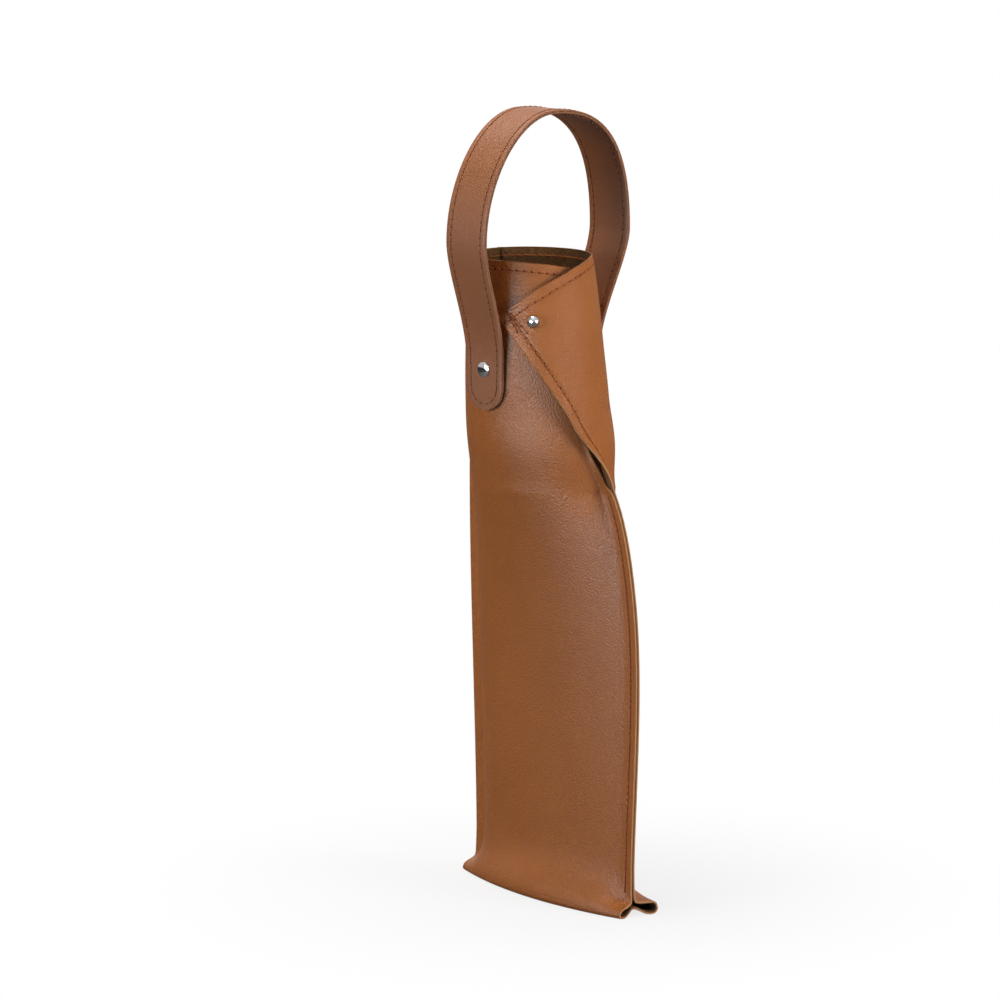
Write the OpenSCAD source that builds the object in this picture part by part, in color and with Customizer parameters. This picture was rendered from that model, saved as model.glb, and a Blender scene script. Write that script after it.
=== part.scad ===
// Leather carrier for one bottle: a flat sewn sleeve with a pleated base, whose upper right corner
// wraps round the front and buttons on a ball stud, and a strap on two rivets.
// Millimetres, +Z up, front towards -Y, origin on the floor under the middle of the carrier.

/* [Panels] */
// Width of the front and back panels, cut edge to cut edge
panel_w = 144; // [130:1:160]
// Height of both panels from the floor to the top edge
panel_h = 348; // [330:1:370]
// Height where the right seam ends and the flap begins
seam_h = 224; // [200:1:240]
// Thickness of the leather
leather_t = 0.8; // [0.6:0.1:1.2]
// Thickness of the lining behind the leather
lining_t = 0.5; // [0.3:0.1:0.8]
// Width of the flat sewn margin along each side
margin_w = 6; // [4:0.5:8]
// Length of the crease between the margin and the body of a panel
crease_w = 6; // [4:0.5:9]
// Left cut edge from the middle: at the floor
left_low = 70.2; // [66:0.2:74]
// Left cut edge from the middle: where the right seam ends
left_seam = 76.9; // [72:0.2:79]
// Left cut edge from the middle: at the rim
left_top = 64.4; // [60:0.2:68]
// How far back the left seam stands at the rim
left_back = 6.8; // [0:0.2:9]

/* [Folds of the panels] */
// Angle at which a panel leaves the left seam: at the floor
leave_low = 53; // [40:1:60]
// Angle at which a panel leaves the left seam: where the right seam ends
leave_seam = 63; // [55:1:70]
// Angle at which a panel leaves the left seam: at the rim
leave_top = 93; // [85:1:98]
// Turn of the back panel from its middle to the flap's edge, at the rim
wrap_turn = 131; // [120:1:135]
// Share of the width in which the left side of the sleeve turns, at the floor
left_low_share = 0.20; // [0.18:0.01:0.30]
// Share of the width in which the left side turns, where the right seam ends
left_seam_share = 0.525; // [0.48:0.005:0.55]
// Twist of the sleeve between its base and its middle, in degrees
twist_seam = 3.8; // [2:0.1:5]
// Direction of the left seam at the rim, in degrees
twist_top = -10.9; // [-13:0.1:-8]
// How much tighter the front panel turns where it lies inside the back panel, as a share
nest_share = 1.06; // [1.05:0.005:1.07]
// How far the front panel is drawn in behind the flap
tuck = 2.8; // [2.4:0.1:3.4]
// How far the hidden corner of the front panel is cut back above the seam
corner_cut = 14; // [12:0.5:18]
// How far above the end of the seam that cut begins
corner_start = 8; // [6:0.5:10]
// Height over which the cut deepens
corner_rise = 48; // [44:1:52]
// Width of the small relief cut at the upper end of the right seam
corner_relief = 4; // [3.5:0.5:6]
// Height over which the relief cut reaches its width
relief_rise = 8; // [6:1:12]

/* [Flap] */
// How far the flap's tip stands off the front panel beyond the panel's own turn
tip_lift = 2.2; // [2:0.1:4]
// Direction in which the tip stands off, from the direction of the left seam, in degrees
tip_turn = -26; // [-32:1:-20]
// How far the flap's tip lies below the rim
flap_drop = 29.7; // [26:0.1:32]
// How far the hidden corner of the front panel lies below the rim
front_drop = 12.6; // [8:0.1:16]
// Distance from the left edge, along the panel, where the flap starts to fall
drop_start = 74; // [68:1:80]
// Distance from the left edge, along the rim, where the flap folds open
hinge_at = 86; // [80:1:92]
// How far above the end of the seam the separate flap begins
hinge_rise = 8; // [6:0.5:12]
// Gap between the flap and the panel it folds from
hinge_gap = 0.8; // [0.6:0.1:1.2]

/* [Base] */
// Length of the base
base_len = 144; // [136:1:150]
// Depth of each fold of the base at its middle, from the middle line
fold_mid = 20.5; // [18:0.5:24]
// Depth of the front fold at its ends
fold_front = 9.5; // [8.5:0.5:12]
// Depth of the back fold at its ends
fold_rear = 16.8; // [15:0.1:19]
// Inner radius of both folds at their middle
fold_r_mid = 1.7; // [1.4:0.1:2.2]
// Inner radius of the front fold at its ends
fold_r_front = 0.8; // [0.6:0.1:1.2]
// Inner radius of the back fold at its ends
fold_r_rear = 2.2; // [1.8:0.1:2.6]
// Width of the flat strip on which each fold stands
strip_w = 1.2; // [0.8:0.1:2]
// Height of the pleat's ridge at the ends
ridge_end = 5.4; // [4.5:0.1:5.8]
// Height of the pleat's ridge at the middle
ridge_mid = 11; // [8:0.5:14]
// Height above which the sides stand straight
foot_h = 34; // [30:1:40]
// Gap between the panels and the base at the folds
fold_gap = 0.2; // [0.1:0.05:0.3]

/* [Strap] */
// Width of the strap over the arch
strap_w = 28; // [26:0.5:32]
// Width of the strap at its round ends
strap_end_w = 25.5; // [23:0.5:27]
// Thickness of each of the two layers of the strap
strap_t = 1; // [0.8:0.1:1.4]
// Height of the top of the arch above the floor
strap_top = 427; // [415:1:440]
// Height at which the legs of the arch stand furthest out
strap_wide_h = 359; // [352:1:366]
// Reach of the front leg from the middle of the rivets
strap_front = 52.5; // [50:0.5:58]
// Reach of the back leg from the middle of the rivets
strap_rear = 61.5; // [56:0.5:64]
// Length of strap below each rivet
strap_tail = 22; // [18:1:26]
// Gap between the strap and the front panel, at the front rivet
front_gap = 1; // [0.6:0.1:1.4]
// Gap between the strap and the back panel, at the back rivet, over the panel's bulge below it
back_gap = 1.8; // [1.4:0.1:2.4]

/* [Metal] */
// Height of the rivets above the floor
rivet_h = 290; // [284:1:296]
// Front rivet from the left cut edge, as a share of the panel's width
rivet_front_share = 0.542; // [0.52:0.002:0.57]
// Back rivet from the left cut edge, as a share of the panel's width
rivet_back_share = 0.406; // [0.39:0.002:0.43]
// Diameter of the caps of the rivets
cap_d = 8.5; // [7:0.5:10]
// Height of a cap
cap_t = 1.6; // [1.2:0.1:2]
// Diameter of the post of a rivet
post_d = 3.4; // [2.8:0.1:4]
// Ball stud from the left cut edge, as a share of the front panel's width
stud_share = 0.712; // [0.7:0.002:0.72]
// Ball stud above the floor, along the front panel
stud_h = 317.5; // [314:0.5:320]
// Diameter of the ball
ball_d = 7; // [6:0.5:8]
// Diameter of the neck below the ball
neck_d = 4; // [3.5:0.5:4.5]
// Diameter of the stud's foot
foot_d = 6.6; // [6:0.2:7]
// Thickness of the stud's foot
foot_t = 0.5; // [0.4:0.1:0.8]
// Height of the ball's centre above the leather
ball_h = 7.2; // [7:0.1:8]
// Diameter of the screw inside
screw_d = 3; // [2.5:0.5:3]
// Diameter of the head of the screw inside
screw_head_d = 8; // [7:0.5:9]
// Thickness of that head
screw_head_t = 1.2; // [1:0.1:1.6]
// Play all round a post or a screw
play = 0.05; // [0.02:0.01:0.08]
// Gap under the heads inside the sleeve, which bear on a curved lining
seat_gap = 0.75; // [0.6:0.05:1]
// Play of the button hole all round the ball
hole_play = 0.5; // [0.4:0.1:0.8]
// How much longer the button hole is towards the tip, for the flap's turn
hole_slot = 3; // [2.5:0.1:4]

/* [Hidden] */
tan = [0.60, 0.37, 0.22];
tan_inside = [0.50, 0.31, 0.19];
olive = [0.36, 0.29, 0.17];
nickel = [0.80, 0.80, 0.79];
sheet_t = leather_t + lining_t;
main_w = panel_w - 2 * margin_w;
// Half of the small gap between two sheets that are sewn face to face
face_gap = 0.06;
// Overrun of every cut
over = 20;
steps = 72;
columns = 24;
round_n = 48;
front = -1;
back = 1;

function mix(a, b, t) = a + (b - a) * t;
function clamp(t) = min(1, max(0, t));
function ease(t) = let (c = clamp(t)) c * c * (3 - 2 * c);

// How far a height lies up the sewn part, and up the open part above the seam
function sewn(v) = clamp(v / seam_h);
function open(v) = clamp((v - seam_h) / (panel_h - seam_h));

// Directions of a panel's section at one height, as angles from the line through the left seam.
// A panel leaves the left seam steeply, turns back over the width, and meets the right seam flat.
// Above the right seam that end comes free and the panel goes on turning, round the tube.
low_power = 3.4;
wrap_power = 2.13;
function leave(v) = mix(mix(leave_low, leave_seam, pow(sewn(v), low_power)), leave_top, open(v));
function left_share(v) = mix(left_low_share, left_seam_share, pow(sewn(v), low_power));
function meet_closed(v) =
    let (a = mix(leave_low, leave_seam, pow(sewn(v), low_power)), m = left_share(v),
        g = m / (1 - m) * (1 - cos(a)) / (a * PI / 180))
    2 * g * (1 + g * g / 3) * 180 / PI;
function meet_open(side) =
    side == back ? wrap_turn : (leave_top + wrap_turn) * nest_share - leave_top;
function meet(side, v) = mix(meet_closed(v), meet_open(side), pow(open(v), wrap_power));
function turn_share(side, v) =
    mix(left_share(v), leave(v) / (leave(v) + meet(side, v)), ease(1.5 * open(v)));
function sewn_right(v) = 1 - ease(2.47 * open(v));
function direction(side, v, s) =
    let (a = (s - margin_w) / main_w, m = turn_share(side, v),
        turn = a < m ? leave(v) * (1 - a / m) : -meet(side, v) * (a - m) / (1 - m),
        start = ease((s - margin_w) / crease_w),
        end = 1 - ease((s - (panel_w - margin_w - crease_w)) / crease_w))
    turn * start * mix(1, end, sewn_right(v));

// A panel's section at one height as points along its width, from the left cut edge
function walk(side, v) =
    let (h = panel_w / steps)
    [for (i = 0, x = 0, y = 0; i <= steps;
        x = x + h * cos(direction(side, v, (i + 0.5) * h)),
        y = y + h * sin(direction(side, v, (i + 0.5) * h)), i = i + 1) [i * h, x, y]];
function twist(v) = mix(twist_seam * ease(1.33 * sewn(v)), twist_top, open(v));
function left_edge(v) =
    [mix(mix(-left_low, -left_seam, ease(sewn(v))), -left_top, ease(open(v))), left_back * pow(open(v), 1.5)];
function tucked(side, v, s) =
    side == front ? tuck * ease(3 * open(v)) * ease((s / panel_w - 0.3) / 0.5) : 0;
function drop(side, v, s) =
    (side == back ? flap_drop : front_drop) * pow(open(v), 0.92)
    * pow(max(0, (s - drop_start) / (panel_w - drop_start)), 2);

// How far along the base a flat width lies, and how near it is to an end
function along(s) = (s / panel_w - 0.5) * base_len;
function to_end(x) = pow(x * 2 / base_len, 2);
function fold_r(side, x) = mix(fold_r_mid, side == front ? fold_r_front : fold_r_rear, to_end(x));
function fold_y(side, x) = mix(fold_mid, side == front ? fold_front : fold_rear, to_end(x)) - sheet_t;
function fold_top(side, x) = fold_r(side, x) + sheet_t + fold_gap;

// Shape of the foot from the fold, at 0, to where the sides stand straight, at 1. Each row gives the
// share of the depth of the fold and the share of the height: at the middle, near an end, and at
// the cut edges, where the front fold closes in a short slope and the back fold in a flat loop.
mid_shares = [[0, 1, 0], [0.05, 0.99, 0.05], [0.1, 0.96, 0.1], [0.2, 0.85, 0.2], [0.3, 0.69, 0.3],
    [0.4, 0.50, 0.4], [0.5, 0.33, 0.5], [0.6, 0.19, 0.6], [0.8, 0.04, 0.8], [1, 0, 1]];
near_shares = [[0, 1, 0], [0.05, 0.97, 0.05], [0.1, 0.89, 0.1], [0.2, 0.66, 0.19], [0.3, 0.42, 0.28],
    [0.4, 0.2, 0.37], [0.5, 0.06, 0.48], [0.6, 0.01, 0.59], [0.8, 0, 0.8], [1, 0, 1]];
front_shares = [[0, 1, 0], [0.05, 0.93, 0.035], [0.1, 0.76, 0.065], [0.2, 0.34, 0.105],
    [0.3, 0.05, 0.17], [0.4, 0, 0.27], [0.5, 0, 0.39], [0.6, 0, 0.51], [0.8, 0, 0.76], [1, 0, 1]];
rear_shares = [[0, 1, 0], [0.05, 0.97, 0.045], [0.1, 0.88, 0.075], [0.2, 0.62, 0.085],
    [0.3, 0.34, 0.095], [0.4, 0.09, 0.13], [0.5, 0.01, 0.23], [0.6, 0, 0.37], [0.8, 0, 0.68], [1, 0, 1]];
function shape(table, k, t) = lookup(t, [for (r = table) [r[0], r[k]]]);
function foot_shape(side, k, t, s) =
    let (edge = side == front ? front_shares : rear_shares, d = abs(2 * s / panel_w - 1))
    mix(shape(mid_shares, k, t), mix(shape(near_shares, k, t), shape(edge, k, t), ease((d - 0.75) * 4)),
        pow(d, 1.5));

// Inner face of a panel at flat width s and flat height v, through the section walked before
function lifted(side, v, s) =
    side == back ? tip_lift * ease((s / panel_w - 0.75) * 4) * ease((open(v) - 0.6) * 3) : 0;
function place(side, v, s, path) =
    let (x0 = lookup(s, [for (p = path) [p[0], p[1]]]) - tucked(side, v, s),
        y0 = lookup(s, [for (p = path) [p[0], p[2]]]),
        shut = path[steps][2] * ease((s - margin_w) / main_w) * sewn_right(v),
        y = side * (y0 - shut + face_gap), c = cos(twist(v)), d = sin(twist(v)), o = left_edge(v),
        up = lifted(side, v, s), off = twist_top + tip_turn, t = clamp(v / foot_h), fx = along(s),
        x1 = o[0] + c * x0 - d * y + up * cos(off),
        y1 = o[1] + d * x0 + c * y + up * sin(off),
        z = mix(fold_top(side, fx), max(v, foot_h), t < 1 ? foot_shape(side, 2, t, s) : 1))
    [mix(x1, fx, pow(1 - clamp(z / foot_h * 1.25), 1.5)),
        mix(y1, side * fold_y(side, fx), t < 1 ? foot_shape(side, 1, t, s) : 0), z - drop(side, v, s)];
function on_panel(side, v, s) = place(side, v, s, walk(side, v));

// A grid of points offset along its normals: rows run up, columns run to the right
function unit(a) = a / norm(a);
function grid_normal(g, i, j) =
    let (n = len(g) - 1, m = len(g[0]) - 1,
        up = g[min(n, i + 1)][j] - g[max(0, i - 1)][j],
        across = g[i][min(m, j + 1)] - g[i][max(0, j - 1)])
    unit(cross(across, up));
function shift(g, d) =
    [for (i = [0 : len(g) - 1]) [for (j = [0 : len(g[0]) - 1]) g[i][j] + d * grid_normal(g, i, j)]];

// Closed shell between two grids of the same size
module shell(a, b) {
    n = len(a);
    m = len(a[0]);
    function at(i, j) = i * m + j;
    points = concat([for (r = a) each r], [for (r = b) each r]);
    k = n * m;
    cells = [for (i = [0 : n - 2]) for (j = [0 : m - 2]) [i, j]];
    inner = [for (c = cells) let (i = c[0], j = c[1])
        each [[at(i, j), at(i, j + 1), at(i + 1, j + 1)], [at(i, j), at(i + 1, j + 1), at(i + 1, j)]]];
    outer = [for (f = inner) [f[2] + k, f[1] + k, f[0] + k]];
    rim = concat([for (j = [0 : m - 1]) at(0, j)], [for (i = [1 : n - 1]) at(i, m - 1)],
        [for (j = [m - 2 : -1 : 0]) at(n - 1, j)], [for (i = [n - 2 : -1 : 1]) at(i, 0)]);
    edge = [for (q = [0 : len(rim) - 1]) let (p = rim[q], r = rim[(q + 1) % len(rim)])
        each [[r, p, p + k], [r, p + k, r + k]]];
    polyhedron(points, concat(inner, outer, edge));
}

// Columns crowd in the creases beside the seams
crease_cols = 4;
function column(j, w) =
    let (last = columns - crease_cols - 1, a = margin_w, b = margin_w + crease_w)
    j == 0 ? 0
    : j <= crease_cols ? mix(a, b, (j - 1) / (crease_cols - 1))
    : j > last ? mix(w - b, w - a, (j - last - 1) / (crease_cols - 1)) * (j < columns ? 1 : 0)
        + (j < columns ? 0 : w)
    : mix(b, w - b, (j - crease_cols) / (last + 1 - crease_cols));

// Right end of each panel at a height: the front one is cut back, the back one ends at the flap
function hinge_line(v) = mix(panel_w, hinge_at, open(v));
function right_end(side, v) =
    side == front ? panel_w - corner_relief * ease((v - seam_h) / relief_rise)
        - (corner_cut - corner_relief) * ease((v - seam_h - corner_start) / corner_rise)
    : v > seam_h + hinge_rise ? hinge_line(v) - hinge_gap / 2
    : mix(panel_w, hinge_line(seam_h + hinge_rise) - hinge_gap / 2, clamp((v - seam_h) / hinge_rise));

// Heights of the rows of points
foot_rows = [for (r = mid_shares) r[0] * foot_h];
sewn_rows = 8;
open_rows = 7;
rows_at = concat(foot_rows, [for (i = [1 : sewn_rows]) mix(foot_h, seam_h, sin(90 * i / sewn_rows))],
    [for (i = [0 : open_rows]) mix(seam_h + hinge_rise, panel_h, i / open_rows)]);
function panel_grid(side) =
    [for (v = rows_at) let (path = walk(side, v), w = right_end(side, v))
        [for (j = [0 : columns]) place(side, v, column(j, w), path)]];

// Seen from the front the columns of both panels run to the right, so their normals point to -Y
module panel_sheet(side, near, far) {
    g = panel_grid(side);
    if (side == front) shell(shift(g, near), shift(g, far));
    else shell(shift(g, -far), shift(g, -near));
}

// Places of the rivets and the stud, and the strap's own frame through the rivets
front_seat = on_panel(front, rivet_h, rivet_front_share * panel_w);
back_seat = on_panel(back, rivet_h, rivet_back_share * panel_w);
strap_mid = (front_seat + back_seat) / 2;
strap_turn = atan2(back_seat[1] - front_seat[1], back_seat[0] - front_seat[0]) - 90;
seat_half = norm([back_seat[0] - front_seat[0], back_seat[1] - front_seat[1]]) / 2;
function strap_in(side) = seat_half + sheet_t + (side == front ? front_gap : back_gap);
module strap_frame() translate([strap_mid[0], strap_mid[1], 0]) rotate([0, 0, strap_turn]) children();

// The stud stands square to the front panel
small = panel_w / 100;
stud_at = stud_share * panel_w;
stud_p = on_panel(front, stud_h, stud_at);
stud_n = unit(cross(on_panel(front, stud_h, stud_at + small) - stud_p,
    on_panel(front, stud_h + small, stud_at) - stud_p));
module stud_frame() {
    turn = atan2(stud_n[1], stud_n[0]);
    tilt = acos(stud_n[2]);
    translate(stud_p) rotate([0, tilt, turn]) children();
}

// The origin lies under the middle of the whole carrier, strap included
middle_x = (base_len / 2 - left_seam) / 2;
strap_reach = [strap_front + strap_t, strap_rear + strap_t];
middle_y = strap_mid[1] + (strap_reach[1] - strap_reach[0]) / 2 * cos(strap_turn);
module centred() translate([-middle_x, -middle_y, 0]) children();

module post_holes(d) {
    strap_frame() translate([0, 0, rivet_h]) rotate([90, 0, 0])
        cylinder(d = d, h = 2 * (strap_in(back) + over), center = true, $fn = round_n);
}
module screw_hole() {
    stud_frame() cylinder(d = screw_d + 2 * play, h = over, center = true, $fn = round_n);
}

module front_leather() color(tan) centred() difference() {
    panel_sheet(front, lining_t, sheet_t);
    post_holes(post_d + 2 * play);
    screw_hole();
}
module front_lining() color(olive) centred() difference() {
    panel_sheet(front, 0, lining_t);
    post_holes(post_d + 2 * play);
    screw_hole();
}
module back_leather() color(tan) centred() difference() {
    panel_sheet(back, lining_t, sheet_t);
    post_holes(post_d + 2 * play);
}
module back_lining() color(olive) centred() difference() {
    panel_sheet(back, 0, lining_t);
    post_holes(post_d + 2 * play);
}

// Pleated base: round each fold, flat on the floor, then up to the ridge between the folds
base_cols = 16;
fold_steps = 3;
ridge_steps = 5;
function ridge_h(x) = mix(ridge_mid, ridge_end, to_end(x));
function half_base(side, x, off) =
    let (y = fold_y(side, x), r = fold_r(side, x), yr = y - r - strip_w, h = r + sheet_t)
    concat(
        [for (i = [0 : fold_steps]) let (a = 90 * i / fold_steps)
            [x, side * (y - r + (r + off) * cos(a)), h - (r + off) * sin(a)]],
        [for (i = [0 : ridge_steps]) let (t = i / ridge_steps)
            [x, side * yr * (1 - t), sheet_t - off + (ridge_h(x) - sheet_t) * (0.5 - 0.5 * cos(180 * t))]]);
function base_row(x, off) =
    let (h = half_base(front, x, off), g = half_base(back, x, off), n = len(g))
    concat(h, [for (i = [n - 2 : -1 : 0]) g[i]]);
function base_grid(off) =
    [for (i = [0 : base_cols]) base_row((i / base_cols - 0.5) * base_len, off)];
module base_leather() color(tan) centred() shell(base_grid(sheet_t), base_grid(lining_t));
module base_lining() color(olive) centred() shell(base_grid(lining_t), base_grid(0));

// The flap is the rest of the back panel, from the fold line to the free edge
flap_rows = 9;
flap_cols = 9;
function flap_grid() =
    [for (i = [0 : flap_rows])
        let (v = mix(seam_h + hinge_rise + hinge_gap, panel_h, i / flap_rows), path = walk(back, v),
            a = hinge_line(v) + hinge_gap / 2)
        [for (j = [0 : flap_cols]) place(back, v, mix(a, panel_w, j / flap_cols), path)]];
module button_hole() {
    stud_frame() hull() for (k = [0, 1])
        translate([0, -k * hole_slot, 0])
            cylinder(d = ball_d + 2 * hole_play, h = over, center = true, $fn = round_n / 2);
}
module flap_leather() color(tan) centred() difference() {
    shell(shift(flap_grid(), -sheet_t), shift(flap_grid(), -lining_t));
    button_hole();
}
module flap_lining() color(olive) centred() difference() {
    shell(shift(flap_grid(), -lining_t), shift(flap_grid(), 0));
    button_hole();
}

// Side view of the strap's middle line, in its own frame: reach along Y, height along Z
leg_shares = [0.32, 0.26];
front_shares_up = [0.50, 0.54];
rear_shares_up = [0.65, 0.70];
lean_share = 0.2;
function bezier(p, t) =
    pow(1 - t, 3) * p[0] + 3 * pow(1 - t, 2) * t * p[1] + 3 * (1 - t) * t * t * p[2] + pow(t, 3) * p[3];
function leg_y(side) = side * (strap_in(side) + strap_t);
strap_lean = (strap_rear - strap_front) * lean_share;
strap_rise = strap_top - strap_t - strap_wide_h;
// The legs run straight past the caps before they bend outwards
leg_h = rivet_h + cap_d / 2 + seat_gap;
leg_rise = strap_wide_h - leg_h;
strap_pieces = [
    [[leg_y(front), leg_h], [leg_y(front), leg_h + leg_rise * leg_shares[0]],
        [-strap_front, strap_wide_h - leg_rise * leg_shares[1]], [-strap_front, strap_wide_h]],
    [[-strap_front, strap_wide_h], [-strap_front, strap_wide_h + strap_rise * front_shares_up[0]],
        [strap_lean - (strap_lean + strap_front) * front_shares_up[1], strap_top - strap_t],
        [strap_lean, strap_top - strap_t]],
    [[strap_lean, strap_top - strap_t],
        [strap_lean + (strap_rear - strap_lean) * rear_shares_up[1], strap_top - strap_t],
        [strap_rear, strap_wide_h + strap_rise * rear_shares_up[0]], [strap_rear, strap_wide_h]],
    [[strap_rear, strap_wide_h], [strap_rear, strap_wide_h - leg_rise * leg_shares[1]],
        [leg_y(back), leg_h + leg_rise * leg_shares[0]], [leg_y(back), leg_h]]];
bend_n = 12;
strap_line = concat([[leg_y(front), rivet_h - strap_tail - over]],
    [for (p = strap_pieces) for (i = [0 : bend_n - 1]) bezier(p, i / bend_n)],
    [[leg_y(back), leg_h], [leg_y(back), rivet_h - strap_tail - over]]);
function side_step(line, i, d) =
    let (n = len(line) - 1, t = unit(line[min(n, i + 1)] - line[max(0, i - 1)]))
    line[i] + d * [-t[1], t[0]];
function ribbon(line, near, far) =
    concat([for (i = [0 : len(line) - 1]) side_step(line, i, near)],
        [for (i = [len(line) - 1 : -1 : 0]) side_step(line, i, far)]);
module strap_outline() {
    // Straight sides over the arch, tapered legs, and a round end below each rivet
    end_h = rivet_h - strap_tail + strap_end_w / 2;
    rotate([90, 0, 0]) linear_extrude(height = 2 * strap_top, center = true) {
        polygon([[-strap_end_w / 2, end_h], [strap_end_w / 2, end_h], [strap_w / 2, strap_wide_h],
            [strap_w / 2, strap_top + over], [-strap_w / 2, strap_top + over], [-strap_w / 2, strap_wide_h]]);
        translate([0, end_h]) circle(d = strap_end_w, $fn = 2 * round_n);
    }
}
module strap_layer(near, far) {
    difference() {
        strap_frame() intersection() {
            rotate([90, 0, 90]) linear_extrude(height = 2 * strap_w, center = true)
                polygon(ribbon(strap_line, near, far));
            strap_outline();
        }
        post_holes(post_d + 2 * play);
    }
}
module strap_outer() color(tan) centred() strap_layer(0, strap_t);
module strap_inner() color(tan_inside) centred() strap_layer(-strap_t, 0);

// Outer caps with their posts, and the back caps inside the sleeve
dome_share = 0.35;
module dome(d, h) {
    // Rounded cap: a low rim that curves in to a flat crown
    rotate_extrude($fn = round_n) hull() {
        square([d / 2, h * dome_share]);
        square([d / 2 - h * (1 - dome_share), h]);
    }
}
module rivet_frame(side) strap_frame() translate([0, 0, rivet_h]) rotate([side * -90, 0, 0]) children();
function cap_seat(side) = strap_in(side) + 2 * strap_t;
back_depth = seat_half - seat_gap;
module rivet_caps() color(nickel) centred() for (side = [front, back]) rivet_frame(side) {
    translate([0, 0, cap_seat(side)]) dome(cap_d, cap_t);
    translate([0, 0, back_depth]) cylinder(d = post_d, h = cap_seat(side) - back_depth, $fn = round_n);
}
module rivet_backs() color(nickel) centred() for (side = [front, back]) rivet_frame(side)
    translate([0, 0, back_depth]) mirror([0, 0, 1]) dome(cap_d, cap_t);

module ball_stud() color(nickel) centred() stud_frame() {
    difference() {
        translate([0, 0, sheet_t + play]) rotate_extrude($fn = round_n) {
            square([foot_d / 2, foot_t]);
            square([neck_d / 2, ball_h]);
            intersection() {
                translate([0, ball_h]) circle(d = ball_d, $fn = round_n);
                square([ball_d, 2 * ball_h]);
            }
        }
        cylinder(d = screw_d + 2 * play, h = 2 * ball_h, center = true, $fn = round_n);
    }
}
module stud_screw() color(nickel) centred() stud_frame() {
    translate([0, 0, -seat_gap]) {
        cylinder(d = screw_d, h = ball_h, $fn = round_n);
        mirror([0, 0, 1]) dome(screw_head_d, screw_head_t);
    }
}

front_leather();
front_lining();
back_leather();
back_lining();
base_leather();
base_lining();
flap_leather();
flap_lining();
strap_outer();
strap_inner();
rivet_caps();
rivet_backs();
ball_stud();
stud_screw();
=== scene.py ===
"""Leather carrier with a strap and a buttoned flap: its looks, in metres, +Z up, front towards -Y."""
import math

import bpy
import numpy as np
from mathutils import Matrix, Vector


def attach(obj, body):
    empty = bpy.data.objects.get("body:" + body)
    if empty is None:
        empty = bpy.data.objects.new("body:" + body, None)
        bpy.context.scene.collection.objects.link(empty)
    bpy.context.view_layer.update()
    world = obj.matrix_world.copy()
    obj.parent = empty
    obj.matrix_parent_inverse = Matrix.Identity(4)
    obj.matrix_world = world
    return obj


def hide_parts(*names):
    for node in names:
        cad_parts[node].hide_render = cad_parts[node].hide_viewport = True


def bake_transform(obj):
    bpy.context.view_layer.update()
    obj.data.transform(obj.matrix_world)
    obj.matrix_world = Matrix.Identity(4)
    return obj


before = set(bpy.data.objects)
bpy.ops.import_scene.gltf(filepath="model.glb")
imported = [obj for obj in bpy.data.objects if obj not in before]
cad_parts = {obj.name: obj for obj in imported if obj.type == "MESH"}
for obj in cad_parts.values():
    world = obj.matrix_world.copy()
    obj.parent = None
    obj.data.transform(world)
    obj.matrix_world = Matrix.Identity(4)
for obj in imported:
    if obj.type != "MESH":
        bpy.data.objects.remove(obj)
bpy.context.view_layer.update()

# Sizes in millimetres and degrees. A place on the sewn sheet is given by its flat width s, from the
# left cut edge, and its flat height v, from the foot. LOW, SEAM and TOP stand for the foot, the
# upper end of the right seam and the rim.
FRONT, BACK = -1, 1
MIDDLE = np.array([-2.45, 3.48754, 0.0])
PANEL_W, PANEL_H, SEAM_H = 144.0, 348.0, 224.0
LEATHER, LINING = 0.8, 0.5
SHEET = LEATHER + LINING
MARGIN, CREASE, SEAM_GAP = 6.0, 6.0, 0.06

# How the panels curve: the left edge's place, the turn that a panel leaves it with, the share of
# the width that this turn takes up, and the turn with which the panel comes round to the right.
LEFT_LOW, LEFT_SEAM, LEFT_TOP, LEFT_BACK = 70.2, 76.9, 64.4, 6.8
LEAVE_LOW, LEAVE_SEAM, LEAVE_TOP, WRAP = 53.0, 63.0, 93.0, 131.0
SHARE_LOW, SHARE_SEAM, SHARE_RATE = 0.20, 0.525, 1.5
BELLY_POWER, WRAP_POWER, MARGIN_RATE, SECTION_STEPS = 3.4, 2.13, 2.47, 288
TWIST_SEAM, TWIST_TOP, TWIST_RATE = 3.8, -10.9, 1.33
TIP_TURN, TIP_LIFT, NEST, TUCK = -26.0, 2.2, 1.06, 2.8

# How the rims are cut: the front's corner under the flap, the fall towards the right, the left seam.
CORNER_CUT, CORNER_START, CORNER_RISE = 14.0, 8.0, 48.0
RELIEF, RELIEF_RISE = 4.0, 8.0
FLAP_DROP, FRONT_DROP, DROP_START, DROP_POWER = 29.7, 12.6, 74.0, 0.92
SEAM_TRIM, TRIM_H = 2.6, 14.0

# The foot and its pleat: depth and inner radius of the folds, and the ridge between them.
BASE_LEN, FOOT_H = 144.0, 34.0
FOLD_MID, FOLD_FRONT, FOLD_REAR = 20.5, 9.5, 16.8
R_MID, R_FRONT, R_REAR = 1.7, 0.8, 2.2
STRIP, RIDGE_END, RIDGE_MID = 1.2, 5.4, 11.0

# The grid of points: a close band along each edge, and the cells between.
BAND, BAND_CELLS, LEFT_CELLS, RIGHT_CELLS = 8.0, 16, 62, 34
FOOT_ROWS, SEAM_ROWS, MOUTH_ROWS, RIM_ROWS = 46, 141, 90, 15
BASE_RING, BASE_RISE = 9, 22
SPLIT_COLUMN, SPLIT_LOW, SPLIT_TOP = BAND_CELLS + LEFT_CELLS, 130.0, 74.0
CUT_ROUND = 0.16
BACK_SHIFT = 400

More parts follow.
